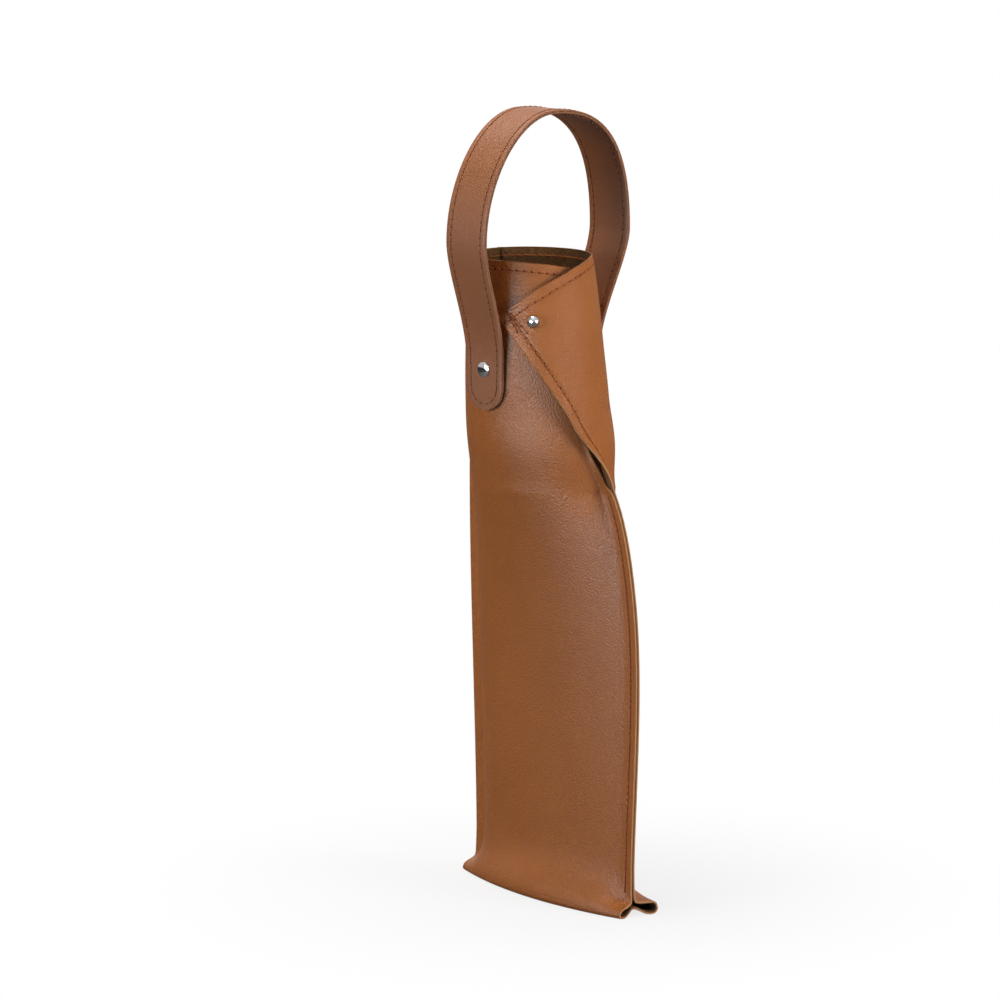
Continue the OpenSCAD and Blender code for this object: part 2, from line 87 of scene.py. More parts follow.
# The flap's button hole and hinge.
BUTTON_S, BUTTON_V, BUTTON_R = 132.75, 336.0, 2.7
BUTTON_ROW, BUTTON_COL, BUTTON_RING, BUTTON_REACH = 271, 110, 2, 6
HINGE_POINT = np.array([41.24, 7.48, 230.28])
HINGE_AXIS = np.array([-0.2783, 0.0954, 0.9558])
BEND_START, BEND_END = 0.5, 15.0

# Thread.
STITCH, SEAM_STITCH, STITCH_IN, STRAP_STITCH_IN, SEAM_LOW = 4.0, 3.6, 4.6, 3.4, 15.0
GROOVE, THREAD_SINK, THREAD_SLANT = 0.22, 0.35, 0.28
STITCH_RISE, INSIDE_RISE, STRAP_RISE = 0.32, 0.12, 0.16
THREAD_R, STRAP_THREAD_R, KNOT_R = 0.40, 0.30, 0.5
# Radii of the dark discs of painted shade that mark the needle holes.
SLEEVE_HOLE_R, FLAP_HOLE_R, STRAP_HOLE_R = 0.66, 0.56, 0.50

# Strap and metal.
STRAP_W, STRAP_END, STRAP_T, STRAP_TOP, STRAP_WIDE = 28.0, 25.5, 1.0, 427.0, 359.0
STRAP_FRONT, STRAP_REAR, STRAP_TAIL, STRAP_ROUND = 52.5, 61.5, 22.0, 0.28
FRONT_GAP, BACK_GAP = 1.0, 1.8
RIVET_H, RIVET_FRONT, RIVET_BACK, POST_R, POST_IN = 290.0, 0.542, 0.406, 1.7, 0.75
CAP_D, CAP_T, CAP_RIM, CAP_CLEAR = 8.5, 1.6, 0.35, 0.75
STUD_S, STUD_H = 0.712 * PANEL_W, 317.5
BALL_D, BALL_H, NECK_D, FOOT_D, SCREW_D = 7.0, 7.2, 4.0, 6.6, 3.1


def metres(points):
    """Millimetres as the source has them, in metres of the shared frame."""
    return (np.asarray(points, float) - MIDDLE) / 1000


def mix(a, b, t):
    return a + (b - a) * t


def ease(t):
    t = np.clip(t, 0, 1)
    return t * t * (3 - 2 * t)


def unit(v):
    return v / np.linalg.norm(v, axis=-1, keepdims=True)


# The sewn sheet.
def sewn(v):
    return np.clip(v / SEAM_H, 0, 1)


def opened(v):
    return np.clip((v - SEAM_H) / (PANEL_H - SEAM_H), 0, 1)


def section(side, v):
    """A panel's section at height v, walked from its left cut edge."""
    low, o = sewn(v) ** BELLY_POWER, opened(v)
    angle, share = mix(LEAVE_LOW, LEAVE_SEAM, low), mix(SHARE_LOW, SHARE_SEAM, low)
    leave = mix(angle, LEAVE_TOP, o)
    g = share / (1 - share) * (1 - math.cos(math.radians(angle))) / math.radians(angle)
    closed = math.degrees(2 * g * (1 + g * g / 3))
    wrapped = WRAP if side == BACK else (LEAVE_TOP + WRAP) * NEST - LEAVE_TOP
    meet = mix(closed, wrapped, o ** WRAP_POWER)
    share = mix(share, leave / (leave + meet), ease(SHARE_RATE * o))
    step = PANEL_W / SECTION_STEPS
    s = (np.arange(SECTION_STEPS) + 0.5) * step
    a = (s - MARGIN) / (PANEL_W - 2 * MARGIN)
    turn = np.where(a < share, leave * (1 - a / share), -meet * (a - share) / (1 - share))
    flat = 1 - ease(MARGIN_RATE * o)
    end = 1 - ease((s - (PANEL_W - MARGIN - CREASE)) / CREASE)
    d = np.radians(turn * ease((s - MARGIN) / CREASE) * mix(1, end, flat))
    x = np.concatenate([[0], np.cumsum(step * np.cos(d))])
    y = np.concatenate([[0], np.cumsum(step * np.sin(d))])
    return np.linspace(0, PANEL_W, SECTION_STEPS + 1), x, y, flat


# How a panel runs in to its fold over the foot, in its middle, near its ends and at both ends:
# share of the flat way up the foot, share of the way in to the fold, share of the height.
MID_FOOT = [(0, 1, 0), (.05, .99, .05), (.1, .96, .1), (.2, .85, .2), (.3, .69, .3),
            (.4, .50, .4), (.5, .33, .5), (.6, .19, .6), (.8, .04, .8), (1, 0, 1)]
NEAR_FOOT = [(0, 1, 0), (.05, .97, .05), (.1, .89, .1), (.2, .66, .19), (.3, .42, .28),
             (.4, .2, .37), (.5, .06, .48), (.6, .01, .59), (.8, 0, .8), (1, 0, 1)]
FRONT_FOOT = [(0, 1, 0), (.05, .93, .035), (.1, .76, .065), (.2, .34, .105), (.3, .05, .17),
              (.4, 0, .27), (.5, 0, .39), (.6, 0, .51), (.8, 0, .76), (1, 0, 1)]
REAR_FOOT = [(0, 1, 0), (.05, .97, .045), (.1, .88, .075), (.2, .62, .085), (.3, .34, .095),
             (.4, .09, .13), (.5, .01, .23), (.6, 0, .37), (.8, 0, .68), (1, 0, 1)]


def smooth_lookup(t, table, k):
    """Value of column k at t, through the table's points with no overshoot."""
    x, y = np.array([r[0] for r in table], float), np.array([r[k] for r in table], float)
    slope = np.diff(y) / np.diff(x)
    m = np.zeros(len(x))
    both = slope[:-1] * slope[1:] > 0
    m[1:-1][both] = 2 * slope[:-1][both] * slope[1:][both] / (slope[:-1] + slope[1:])[both]
    m[0], m[-1] = slope[0], slope[-1]
    i = min(max(int(np.searchsorted(x, t)) - 1, 0), len(x) - 2)
    h = x[i + 1] - x[i]
    u = (t - x[i]) / h
    return ((1 + 2 * u) * (1 - u) ** 2 * y[i] + u * (1 - u) ** 2 * h * m[i]
            + u * u * (3 - 2 * u) * y[i + 1] + u * u * (u - 1) * h * m[i + 1])


def foot_shape(side, k, t, s):
    """Column k of the foot's tables at t, drawn from the middle of the panel out to its ends."""
    edge = FRONT_FOOT if side == FRONT else REAR_FOOT
    d = np.abs(2 * s / PANEL_W - 1)
    ends = mix(smooth_lookup(t, NEAR_FOOT, k), smooth_lookup(t, edge, k), ease((d - 0.75) * 4))
    return mix(smooth_lookup(t, MID_FOOT, k), ends, d ** 1.5)


def along(s):
    return (s / PANEL_W - 0.5) * BASE_LEN


def fold_sizes(side, x):
    """Where a fold of the base lies at x: depth of its inner face, inner radius."""
    e = (x * 2 / BASE_LEN) ** 2
    return (mix(FOLD_MID, FOLD_FRONT if side == FRONT else FOLD_REAR, e) - SHEET,
            mix(R_MID, R_FRONT if side == FRONT else R_REAR, e))


def wall(side, v, s):
    """Inner face of a panel seen from above, before the foot draws it in to the fold."""
    walked, x, y, flat = section(side, v)
    o, w = opened(v), sewn(v)
    tucked = TUCK * ease(3 * o) * ease((s / PANEL_W - 0.3) / 0.5) if side == FRONT else 0
    shut = y[-1] * ease((s - MARGIN) / (PANEL_W - 2 * MARGIN)) * flat
    px = np.interp(s, walked, x) - tucked
    py = side * (np.interp(s, walked, y) - shut + SEAM_GAP)
    turn = math.radians(mix(TWIST_SEAM * ease(TWIST_RATE * w), TWIST_TOP, o))
    c, d = math.cos(turn), math.sin(turn)
    up = TIP_LIFT * ease((s / PANEL_W - 0.75) * 4) * ease((o - 0.6) * 3) if side == BACK else 0
    off = math.radians(TWIST_TOP + TIP_TURN)
    left = mix(mix(-LEFT_LOW, -LEFT_SEAM, ease(w)), -LEFT_TOP, ease(o))
    return (left + c * px - d * py + up * math.cos(off),
            LEFT_BACK * o ** 1.5 + d * px + c * py + up * math.sin(off))


def place(side, v, s):
    """Inner face of a panel at flat width s and flat height v."""
    s = np.asarray(s, float)
    x, y = wall(side, v, s)
    fold_x = along(s)
    fold_y, fold_r = fold_sizes(side, fold_x)
    t = min(max(v / FOOT_H, 0), 1)
    inward, up = (foot_shape(side, 1, t, s), foot_shape(side, 2, t, s)) if t < 1 else (0, 1)
    z = mix(fold_r + SHEET, max(v, FOOT_H), up)
    widen = (1 - np.clip(z / FOOT_H * 1.25, 0, 1)) ** 1.5
    fall = (FLAP_DROP if side == BACK else FRONT_DROP) * opened(v) ** DROP_POWER
    z = z - fall * (np.maximum(0, s - DROP_START) / (PANEL_W - DROP_START)) ** 2
    z = z - SEAM_TRIM * ease((MARGIN + 2 - s) / 5) * ease((v - PANEL_H + TRIM_H) / TRIM_H)
    return np.stack([mix(x, fold_x, widen), mix(y, side * fold_y, inward), z], -1)


def right_end(side, v):
    """Right edge of a panel at height v; the front one is cut back where the flap covers it."""
    if side == BACK:
        return PANEL_W
    relief = RELIEF * ease((v - SEAM_H) / RELIEF_RISE)
    corner = (CORNER_CUT - RELIEF) * ease((v - SEAM_H - CORNER_START) / CORNER_RISE)
    return PANEL_W - relief - corner


def columns(side, v):
    """Flat widths of one row of points, closer together in both sewn margins."""
    w = right_end(side, v)
    if side == FRONT:
        split = SPLIT_LOW - 20 * ease((v - 160) / 92)
    else:
        split = mix(SPLIT_LOW, SPLIT_TOP, opened(v))
    bands = [(0, BAND, BAND_CELLS), (BAND, split, LEFT_CELLS), (split, w - BAND, RIGHT_CELLS)]
    cells = [np.linspace(a, b, n, endpoint=False) for a, b, n in bands]
    return np.concatenate(cells + [np.linspace(w - BAND, w, BAND_CELLS + 1)])


def heights():
    """Flat heights of the rows of points, closer together at the foot and the rim."""
    bands = [(FOOT_H, SEAM_H, SEAM_ROWS), (SEAM_H, PANEL_H - BAND, MOUTH_ROWS),
             (PANEL_H - BAND, PANEL_H, RIM_ROWS)]
    foot = np.linspace(0, 1, FOOT_ROWS) ** 1.15 * FOOT_H
    return np.concatenate([foot] + [np.linspace(a, b, n)[1:] for a, b, n in bands])


ROWS = heights()
COUNT = len(ROWS)


def base_points(side, s, i):
    """Point i of the base's section, from the top of a fold to the ridge in the middle."""
    x = along(s)
    y, r = fold_sizes(side, x)
    if i < BASE_RING:
        a = math.radians(90 * i / BASE_RING)
        return np.stack([x, side * (y - r + r * math.cos(a)), SHEET + r - r * math.sin(a)], -1)
    t = (i - BASE_RING) / BASE_RISE
    ridge = mix(RIDGE_MID, RIDGE_END, (x * 2 / BASE_LEN) ** 2)
    rise = SHEET + (ridge - SHEET) * (0.5 - 0.5 * math.cos(math.pi * t))
    return np.stack([x, side * (y - r - STRIP) * (1 - t), rise], -1)


def near_button(i, s):
    """Flat places of row i of the back, drawn into circles round the flap's button hole."""
    where = np.stack([s, ROWS[i] + 0 * s], -1)
    if abs(i - BUTTON_ROW) > BUTTON_REACH:
        return where
    for j in range(BUTTON_COL - BUTTON_REACH, BUTTON_COL + BUTTON_REACH + 1):
        down, across = i - BUTTON_ROW, j - BUTTON_COL
        ring = max(abs(down), abs(across)) / BUTTON_RING
        step = ring * BUTTON_R / (math.hypot(down, across) or 1)
        circle = np.array([BUTTON_S + step * across, BUTTON_V + step * down])
        where[j] = mix(where[j], circle, 1 - ease((ring - 1) / 2))
    return where


def sewn_sheet():
    """The whole sheet, from the front rim down, under the base and up to the back rim."""
    points, flat = [], []
    for v in ROWS[::-1]:
        s = columns(FRONT, v)
        points.append(place(FRONT, v, s))
        flat.append(np.stack([s, v + 0 * s], -1))
    s = columns(BACK, 0)
    last = BASE_RING + BASE_RISE
    under = [(FRONT, i, -i) for i in range(1, last + 1)]
    under += [(BACK, i, i - 2 * last) for i in range(last - 1, 0, -1)]
    for side, i, v in under:
        points.append(base_points(side, s, i))
        flat.append(np.stack([s, v + 0 * s], -1))
    for i, v in enumerate(ROWS):
        where = near_button(i, columns(BACK, v))
        line = place(BACK, v, where[:, 0])
        for j in np.flatnonzero(where[:, 1] != v):
            line[j] = place(BACK, where[j, 1], where[j:j + 1, 0])[0]
        points.append(line)
        flat.append(where + [0, BACK_SHIFT])
    return np.array(points), np.array(flat)


def groove(side, v, s):
    """How far the leather is drawn in along its rows of stitches; the front's left seam shows none."""
    rows = [np.abs(s - STITCH_IN)] if side == BACK else []
    if side == BACK or v <= SEAM_H + 2:
        rows.append(np.abs(s - (PANEL_W - STITCH_IN)))
    rows.append(np.abs(v - (PANEL_H - STITCH_IN)) + 0 * s)
    return GROOVE * sum(np.exp(-d ** 2) for d in rows) * ease((v - 10) / 8)


def outward(grid):
    """At each rim point, the direction out of the sheet along its own surface."""
    out = np.zeros_like(grid)
    whole = slice(None)
    for edge, inner in (((0, whole), (1, whole)), ((-1, whole), (-2, whole)),
                        ((whole, 0), (whole, 1)), ((whole, -1), (whole, -2))):
        out[edge] += unit(grid[edge] - grid[inner])
    return out


GRID, FLAT = sewn_sheet()
NORMAL = unit(np.cross(np.gradient(GRID, axis=0), np.gradient(GRID, axis=1)))
OUT = outward(GRID)
LAST_ROW, LAST_COL = GRID.shape[0] - 1, GRID.shape[1] - 1
BACK_ROW = GRID.shape[0] - COUNT
FLAP_ROW = BACK_ROW + int(np.searchsorted(ROWS, SEAM_H + 0.9))


def button_ring():
    """Rows and columns of the points round the button hole, from corner to corner and closed."""
    k = np.arange(-BUTTON_RING, BUTTON_RING + 1)
    back, last = k[::-1][1:], 0 * k[1:] + BUTTON_RING
    down = np.concatenate([0 * k - BUTTON_RING, k[1:], last, back])
    across = np.concatenate([k, last, back, -last])
    return BACK_ROW + BUTTON_ROW + down, BUTTON_COL + across


BUTTON = button_ring()
OUT[BUTTON] = unit(GRID[BUTTON].mean(axis=0) - GRID[BUTTON])


def dips():
    """How far the outer face is drawn in, at every point of the sheet."""
    d = np.zeros(GRID.shape[:2])
    for i, v in enumerate(ROWS):
        for side, j in ((FRONT, COUNT - 1 - i), (BACK, BACK_ROW + i)):
            d[j] = groove(side, v, FLAT[j, :, 0])
    return d


OUTER = SHEET - dips()


# Meshes.
def mesh_object(name, points, faces, materials, picks=None, uv=None, smooth=True):
    """An object from points in metres, with a material number for each face and flat coordinates."""
    mesh = bpy.data.meshes.new(name)
    mesh.from_pydata([tuple(p) for p in points], [], [tuple(f) for f in faces])
    for m in materials:
        mesh.materials.append(m)
    if picks is not None:
        mesh.polygons.foreach_set("material_index", np.asarray(picks, np.int32))
    if uv is not None:
        layer = mesh.uv_layers.new(name="flat")
        index = np.zeros(len(mesh.loops), np.int32)
        mesh.loops.foreach_get("vertex_index", index)
        layer.data.foreach_set("uv", np.asarray(uv, np.float32)[index].ravel())
    mesh.polygons.foreach_set("use_smooth", np.full(len(mesh.polygons), smooth))
    mesh.update()
    obj = bpy.data.objects.new(name, mesh)
    bpy.context.scene.collection.objects.link(obj)
    return obj


def sheet_face(name, rows, cols, offset, sign, materials, hole):
    """One face of the sheet between two rows and two columns, with its half of the cut edge.

    The face lies at offset along the normals. Where the part has a free edge, the face rolls over a
    small round and runs on to where leather and lining meet. Sign is 1 outside and -1 inside."""
    part = (slice(rows[0], rows[1] + 1), slice(cols[0], cols[1] + 1))
    p, n, o, f, lift = (a[part].reshape(-1, a.shape[-1])
                        for a in (GRID, NORMAL, OUT, FLAT, offset[..., None]))
    index = np.arange(len(p)).reshape(rows[1] + 1 - rows[0], -1)
    quads = np.stack([index[:-1, :-1], index[1:, :-1], index[1:, 1:], index[:-1, 1:]], -1)
    edges = [(rows[0] == 0, index[0, ::-1]), (rows[1] == LAST_ROW, index[-1]),
             (cols[0] == 0, index[:, 0]), (cols[1] == LAST_COL, index[::-1, -1])]
    if hole is not None:
        i, j = hole[0] - rows[0], hole[1] - cols[0]
        edges.insert(0, (True, index[i, j]))
        kept = np.ones(quads.shape[:2], bool)
        kept[i.min():i.max(), j.min():j.max()] = False
        quads = quads[kept]
    faces = [quads.reshape(-1, 4)]
    points, uv = [p + lift * n - o * CUT_ROUND], [f]
    picks, total, roll = [np.zeros(len(faces[0]), int)], len(p), 0.3 * CUT_ROUND
    for line in (line for free, line in edges if free):
        rings, level = [line], lift[line]
        for inset, height in ((roll, level - sign * roll), (0.0, level - sign * CUT_ROUND),
                              (0.0, LINING + 0 * level)):
            points.append(p[line] + height * n[line] - inset * o[line])
            uv.append(f[line])
            rings.append(np.arange(total, total + len(line)))
            total += len(line)
        for one, two in zip(rings, rings[1:]):
            faces.append(np.stack([one[:-1], one[1:], two[1:], two[:-1]], -1))
            picks.append(np.ones(len(line) - 1, int))
    used, faces = np.unique(np.concatenate(faces)[:, ::sign], return_inverse=True)
    return mesh_object(name, metres(np.concatenate(points)[used]), faces.reshape(-1, 4), materials,
                       np.concatenate(picks), np.concatenate(uv)[used] / 1000)


def ring_faces(rings, sides, start=0):
    """Faces between closed rings of points that follow one another."""
    return [(a + j, a + (j + 1) % sides, a + sides + (j + 1) % sides, a + sides + j)
            for a in range(start, start + (rings - 1) * sides, sides) for j in range(sides)]


def lathe(name, profile, matrix, material, turns=64):
    """A turned piece from (radius, height) points in millimetres."""
    a = np.linspace(0, 2 * math.pi, turns, endpoint=False)
    ring = np.stack([np.cos(a), np.sin(a)], -1)
    points = np.concatenate([np.concatenate([ring * r, np.full((turns, 1), h)], 1) for r, h in profile])
    return mesh_object(name, metres(points @ matrix[:3, :3].T + matrix[:3, 3]),
                       ring_faces(len(profile), turns), [material])


def tubes(name, paths, radius, material, sides=6):
    """Many short threads in one mesh: each path is a run of points in millimetres."""
    a = np.linspace(0, 2 * math.pi, sides, endpoint=False)
    points, faces, total = [], [], 0
    for path in paths:
        path = np.asarray(path, float)
        t = unit(np.gradient(path, axis=0))
        side = unit(np.cross(t, np.roll(t[0], 1) + np.array([0.3, 0.1, 0.7])))
        up = np.cross(t, side)
        ring = side[:, None] * np.cos(a)[None, :, None] + up[:, None] * np.sin(a)[None, :, None]
        points.append((path[:, None] + radius * ring).reshape(-1, 3))
        faces += ring_faces(len(path), sides, total)
        total += len(path) * sides
    return mesh_object(name, metres(np.concatenate(points)), faces, [material])


def spots(name, places, radius, material, sides=10):
    """Flat dark discs of painted shade, standing in for the shade inside needle holes, given as (point,
    normal) in millimetres.
    """
    a = np.linspace(0, 2 * math.pi, sides, endpoint=False)[:, None]
    points = []
    for p, n in places:
        u = unit(np.cross(n, [0.31, 0.52, 0.79]))
        points.append(p + radius * (np.cos(a) * u + np.sin(a) * np.cross(n, u)))
    faces = np.arange(len(places) * sides).reshape(-1, sides)
    return mesh_object(name, metres(np.concatenate(points)), faces, [material], smooth=False)


# Materials.
class Value:
    """A socket's output, so that a material's maths reads as plain sums."""

    def __init__(self, nodes, socket):
        self.nodes, self.socket = nodes, socket

    def maths(self, operation, *items):
        return self.nodes.node("ShaderNodeMath", {"operation": operation}, dict(enumerate(items)))

    def __add__(self, other):
        return self.maths("ADD", self, other)

    def __radd__(self, other):
        return self.maths("ADD", other, self)

    def __sub__(self, other):
        return self.maths("SUBTRACT", self, other)

    def __rsub__(self, other):
        return self.maths("SUBTRACT", other, self)

    def __mul__(self, other):
        return self.maths("MULTIPLY", self, other)

    def __rmul__(self, other):
        return self.maths("MULTIPLY", other, self)

    def clamp(self):
        return self.maths("MINIMUM", self.maths("MAXIMUM", self, 0.0), 1.0)


class Nodes:
    """A node tree, to which all nodes are added by one method."""

    def __init__(self, tree):
        self.tree = tree

    def put(self, socket, item):
        """Links a value to a socket, or sets the socket to a constant."""
        if isinstance(item, Value):
            self.tree.links.new(item.socket, socket)
        else:
            socket.default_value = item

    def node(self, kind, settings=None, inputs=None, output=0):
        """Adds a node: its settings first, then its sockets' values or links, by name or number."""
        node = self.tree.nodes.new(kind)
        for key, value in (settings or {}).items():
            setattr(node, key, value)
        for key, value in (inputs or {}).items():
            self.put(node.inputs[key], value)
        return Value(self, node.outputs[output])

    def ray(self, kind):
        return self.node("ShaderNodeLightPath", output=kind)


class Paint(Nodes):
    """One material, with what its recipes share."""

    def __init__(self, name, constants):
        self.material = bpy.data.materials.new(name)
        self.material.use_nodes = True
        super().__init__(self.material.node_tree)
        self.surface = self.tree.nodes["Principled BSDF"]
        for socket, value in constants.items():
            self.set(socket, value)

    def set(self, socket, value):
        self.put(self.surface.inputs[socket], value)

    def vector(self, operation, items, output="Vector"):
        return self.node("ShaderNodeVectorMath", {"operation": operation}, dict(enumerate(items)),
                         output)

    def blend(self, factor, one, two):
        return self.node("ShaderNodeMix", {"data_type": "RGBA"}, {0: factor, 6: one, 7: two}, 2)

    def flat(self):
        return self.node("ShaderNodeUVMap", {"uv_map": "flat"})

    def solid(self):
        return self.node("ShaderNodeTexCoord", output="Object")

    def noise(self, vector, scale, detail=2.0, roughness=0.5):
        return self.node("ShaderNodeTexNoise", None, {"Vector": vector, "Scale": scale, "Detail": detail,
                                                      "Roughness": roughness})

    def bump(self, height, strength, distance):
        self.set("Normal", self.node("ShaderNodeBump", None, {"Height": height, "Strength": strength,
                                                              "Distance": distance}))


def leather(name, colour, dark, light, grain, roughness, gloss):
    """Grained leather: pebbles of about 0.8 mm, with a little wear between light and dark."""
    p = Paint(name, {"Roughness": roughness, "Specular IOR Level": gloss})
    flat = p.flat()
    cloud = p.noise(flat, 28.0, 3.0, 0.55)
    fine = p.noise(flat, 1500.0, 2.0, 0.6)
    pebble = p.node("ShaderNodeTexVoronoi", {"feature": "SMOOTH_F1"},
                    {"Vector": flat, "Scale": 1200.0, "Smoothness": 0.4})
    tone = p.blend(cloud * 1.6 - 0.3, dark, light)
    p.set("Base Color", p.blend((fine * 1.7 - 0.45).clamp(), tone, colour))
    p.set("Roughness", roughness - 0.1 + 0.2 * fine)
    p.bump(pebble * -1.0 + fine * 0.8, grain, 0.0004)
    return p.material


def suede(name, dark, light):
    """Brushed lining with short streaks of light nap."""
    p = Paint(name, {"Roughness": 0.92, "Specular IOR Level": 0.06})
    flat = p.flat()
    streak = p.noise(p.vector("MULTIPLY", [flat, (420.0, 1500.0, 1.0)]), 1.0)
    fine = p.noise(flat, 2200.0, 2.0, 0.6)
    p.set("Base Color", p.blend((streak * 2.6 - 0.8).clamp(), dark, light))
    p.bump(fine + streak, 0.6, 0.0003)
    return p.material


def plain(name, colour, roughness, metallic=0.0, speckle=None):
    """An even finish, with fine speckle where a second colour is given."""
    p = Paint(name, {"Base Color": colour, "Roughness": roughness, "Metallic": metallic,
                     "Specular IOR Level": 0.5 if metallic else 0.08})
    if speckle:
        fine = p.noise(p.solid(), 1700.0, 2.0, 0.7)
        p.set("Base Color", p.blend((fine * 2.4 - 0.7).clamp(), colour, speckle))
        p.bump(fine, 0.4, 0.0002)
    return p.material


TAN = leather("tan_leather", (0.32, 0.098, 0.018, 1), (0.29, 0.086, 0.015, 1),
              (0.35, 0.110, 0.022, 1), 0.7, 0.42, 0.14)
STRAP = leather("strap_leather", (0.24, 0.084, 0.030, 1), (0.21, 0.072, 0.025, 1),
                (0.26, 0.094, 0.035, 1), 0.35, 0.46, 0.18)
OLIVE = suede("suede_lining", (0.105, 0.048, 0.016, 1), (0.21, 0.102, 0.038, 1))
RAW = plain("cut_edge", (0.54, 0.26, 0.115, 1), 0.85, speckle=(0.38, 0.17, 0.07, 1))
RAW_STRAP = plain("strap_edge", (0.33, 0.15, 0.08, 1), 0.8, speckle=(0.20, 0.085, 0.04, 1))
RAW_LINING = plain("lining_edge", (0.20, 0.105, 0.045, 1), 0.9, speckle=(0.10, 0.05, 0.022, 1))
THREAD = plain("thread", (0.33, 0.094, 0.026, 1), 0.8)
STRAP_THREAD = plain("strap_thread", (0.26, 0.095, 0.037, 1), 0.65)
# Painted shade: this dark colour on the needle-hole discs stands in for the shade inside each hole.
HOLE_SHADE = plain("needle_hole_shade", (0.055, 0.016, 0.005, 1), 0.9)
NICKEL = plain("nickel", (0.42, 0.415, 0.41, 1), 0.10, 1.0)


# Stitches.
def spot_on(side, v, s, face=SHEET):
    """Point and outward normal on a face of the sheet; face is measured from its inner side."""
    a = place(side, v, np.array([s - 0.4, s, s + 0.4]))
    b, c = (place(side, v + d, np.array([s]))[0] for d in (0.4, -0.4))
    n = side * unit(np.cross(b - c, a[2] - a[0]))
    return a[1] + face * n, n


def stitch_path(a, b, height=STITCH_RISE):
    """A thread that rises out of one needle hole and goes a little aslant down the next."""
    (p, n), (q, m) = a, b
    aside = np.cross(n, q - p) / np.linalg.norm(q - p)
    p, q, path = p + THREAD_SLANT * aside, q - THREAD_SLANT * aside, []
    low = height * 0.35
    for t, lift in zip((0.08, 0.17, 0.34, 0.66, 0.83, 0.92),
                       (-THREAD_SINK, low, height, height, low, -THREAD_SINK)):
        path.append(mix(p, q, t) + lift * unit(mix(n, m, t)))
    return path


def sew(side, start, end, threads, holes, pitch=STITCH):
    """Stitches along a straight line of the flat sheet, on the leather and on the lining."""
    (s0, v0), (s1, v1) = start, end
    count = max(1, round(math.hypot(s1 - s0, v1 - v0) / pitch))
    faces = []
    for i in range(count + 1):
        s, v = mix(s0, s1, i / count), mix(v0, v1, i / count)
        faces.append(spot_on(side, v, s, SHEET - float(groove(side, v, s))))
    threads += [stitch_path(a, b) for a, b in zip(faces, faces[1:])]
    # Places for the dark discs of painted shade in the needle holes.
    holes += [(p + 0.05 * n, n) for p, n in faces]
    under = [(p - (SHEET - 0.02) * n, -n) for p, n in faces]
    threads += [stitch_path(a, b, INSIDE_RISE) for a, b in zip(under, under[1:])]


def knot(side, v, s):
    """A thread's end, knotted on the leather: a short turn that stands up from it."""
    p, n = spot_on(side, v, s)
    up = np.array([0, 0, 1]) - n[2] * n
    turn = np.linspace(0, 1.6 * math.pi, 9)[:, None]
    circle = np.sin(turn) * np.cross(n, up) + np.cos(turn) * up
    return p + KNOT_R * circle + (0.2 + 0.06 * turn) * n


def loose_end(v):
    """A thread's end that stands out from the flap's free edge."""
    p, n = spot_on(BACK, v, PANEL_W - 0.8, 0.5)
    out = unit(p - spot_on(BACK, v, PANEL_W - 3.0, 0.5)[0])
    return [p + k * out - 0.06 * k * k * n for k in (0.0, 0.7, 1.4, 2.1, 2.7)]


# The sleeve and the flap.
PARTS = [("front", (0, COUNT - 1), (0, LAST_COL)),
         ("base", (COUNT - 1, BACK_ROW), (0, LAST_COL)),
         ("back", (BACK_ROW, FLAP_ROW), (0, LAST_COL)),
         ("back_upper", (FLAP_ROW, LAST_ROW), (0, SPLIT_COLUMN)),
         ("flap", (FLAP_ROW, LAST_ROW), (SPLIT_COLUMN, LAST_COL))]


def panels():
    """Leather and lining of every part of the sheet, as separate pieces."""
    made = {}
    for name, rows, cols in PARTS:
        hole = BUTTON if name == "flap" else None
        made[name + "_skin"] = sheet_face(name + "_skin", rows, cols, OUTER, 1, [TAN, RAW], hole)
        made[name + "_suede"] = sheet_face(name + "_suede", rows, cols, 0 * OUTER, -1,
                                           [OLIVE, RAW_LINING], hole)
    for name in ("front", "base", "back", "flap"):
        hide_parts(name + "_leather")
        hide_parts(name + "_lining")
    for name, obj in made.items():
        if name.startswith("flap"):
            follow_flap(obj)
        else:
            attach(obj, "sleeve")


def follow_flap(obj):
    """Bakes the piece's placement into its points; it is neither bent round the fold line nor made to go
    with the flap.
    """
    across = np.array([0.72, -0.69, 0.0])
    across = unit(across - HINGE_AXIS * (across @ HINGE_AXIS) / (HINGE_AXIS @ HINGE_AXIS))
    Vector(metres(HINGE_POINT + BEND_START * across))
    Vector(metres(HINGE_POINT + BEND_END * across))
    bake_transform(obj)


def sewing():
    """All rows of stitches on the sheet."""
    threads, holes = [], []
    inner, seam, rim = STITCH_IN, PANEL_W - STITCH_IN, PANEL_H - STITCH_IN
    for side in (FRONT, BACK):
        sew(side, (seam, SEAM_LOW), (seam, SEAM_H - 1.5), threads, holes, SEAM_STITCH)
    sew(BACK, (inner, SEAM_LOW), (inner, rim), threads, holes, SEAM_STITCH)
    sew(FRONT, (inner, rim), (right_end(FRONT, PANEL_H) - inner, rim), threads, holes)
    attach(tubes("sleeve_stitches", threads, THREAD_R, THREAD), "sleeve")
    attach(spots("sleeve_needle_hole_shades", holes, SLEEVE_HOLE_R, HOLE_SHADE), "sleeve")
    knots = [knot(FRONT, 9.5, seam - 1.2), knot(BACK, 12.5, seam - 2.0)]
    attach(tubes("thread_knots", knots, KNOT_R, RAW), "sleeve")
    threads, holes = [], []
    sew(BACK, (inner, rim), (PANEL_W - 0.8, rim), threads, holes)
    sew(BACK, (seam, SEAM_H + 2), (seam, PANEL_H - 0.8), threads, holes)
    sew(BACK, (seam - 1.7, PANEL_H - 15), (seam - 0.5, PANEL_H - 2), threads, holes)
    sew(BACK, (seam + 1.6, PANEL_H - 12), (seam + 0.6, PANEL_H - 2), threads, holes)
    threads.append(loose_end(PANEL_H - 7.5))
    follow_flap(tubes("flap_stitches", threads, THREAD_R, THREAD))
    follow_flap(spots("flap_needle_hole_shades", holes, FLAP_HOLE_R, HOLE_SHADE))


